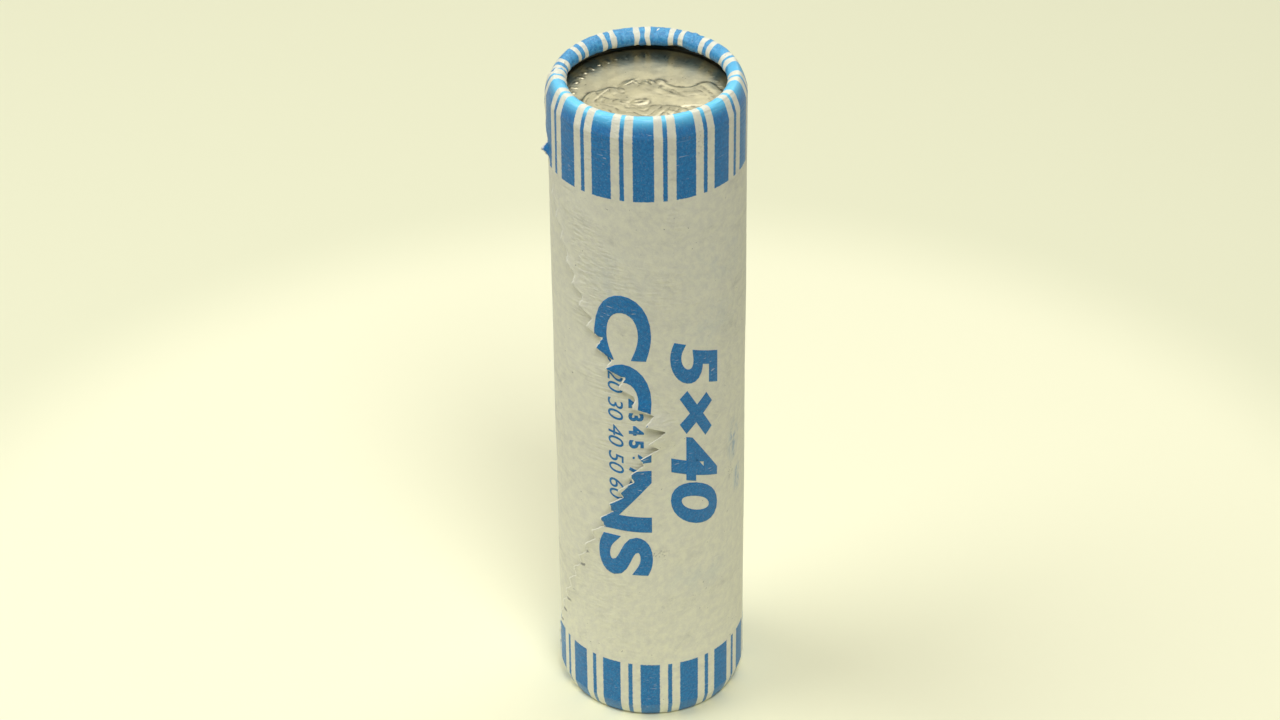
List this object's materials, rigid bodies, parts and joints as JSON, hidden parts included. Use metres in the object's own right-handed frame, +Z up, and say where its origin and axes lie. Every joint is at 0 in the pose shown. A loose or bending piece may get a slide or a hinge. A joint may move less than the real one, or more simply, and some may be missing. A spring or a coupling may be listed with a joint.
{
  "type": "paper-wrapped coin roll",
  "caption": "Upright roll of equal coins wound in a striped paper strip, both edges of the strip curled inward over the end coins, with a loose saw-toothed tail.",
  "frame": {"origin": "centre of the ring that the roll stands on, on the roll's axis", "axes": "+Z up along the roll's axis, -Y towards the viewer, where the point of the V-shaped tail lies, +X to the viewer's right"},
  "size_m": [0.022, 0.022, 0.0824],
  "materials": {
    "wrapper_paper": "matt uncoated off-white paper with blue printed stripes round both ends",
    "coin_metal": "worn and slightly toned copper-nickel"
  },
  "bodies": {
    "wrapper": {"paper_wrapper": "wrapper_paper"},
    "coin_column": {"coin_02": "coin_metal", "coin_03": "coin_metal", "coin_04": "coin_metal", "coin_05": "coin_metal", "coin_06": "coin_metal", "coin_07": "coin_metal", "coin_08": "coin_metal", "coin_09": "coin_metal", "coin_10": "coin_metal", "coin_11": "coin_metal", "coin_12": "coin_metal", "coin_13": "coin_metal", "coin_14": "coin_metal", "coin_15": "coin_metal", "coin_16": "coin_metal", "coin_17": "coin_metal", "coin_18": "coin_metal", "coin_19": "coin_metal", "coin_20": "coin_metal", "coin_21": "coin_metal", "coin_22": "coin_metal", "coin_23": "coin_metal", "coin_24": "coin_metal", "coin_25": "coin_metal", "coin_26": "coin_metal", "coin_27": "coin_metal", "coin_28": "coin_metal", "coin_29": "coin_metal", "coin_30": "coin_metal", "coin_31": "coin_metal", "coin_32": "coin_metal", "coin_33": "coin_metal", "coin_34": "coin_metal", "coin_35": "coin_metal", "coin_36": "coin_metal", "coin_37": "coin_metal", "coin_38": "coin_metal", "coin_39": "coin_metal"},
    "top_coin": {"coin_40": "coin_metal"},
    "bottom_coin": {"coin_01": "coin_metal"}
  },
  "joints": [
    {"name": "end_play", "type": "slide", "parent": "wrapper", "child": "coin_column", "axis": [0, 0, 1], "range_m": [0, 0.0004]},
    {"name": "top_coin_turn", "type": "hinge", "parent": "coin_column", "child": "top_coin", "pos_m": [0, 0, 0.079], "axis": [0, 0, 1], "continuous": true},
    {"name": "bottom_coin_turn", "type": "hinge", "parent": "coin_column", "child": "bottom_coin", "pos_m": [0, 0, 0.003], "axis": [0, 0, 1], "continuous": true}
  ]
}
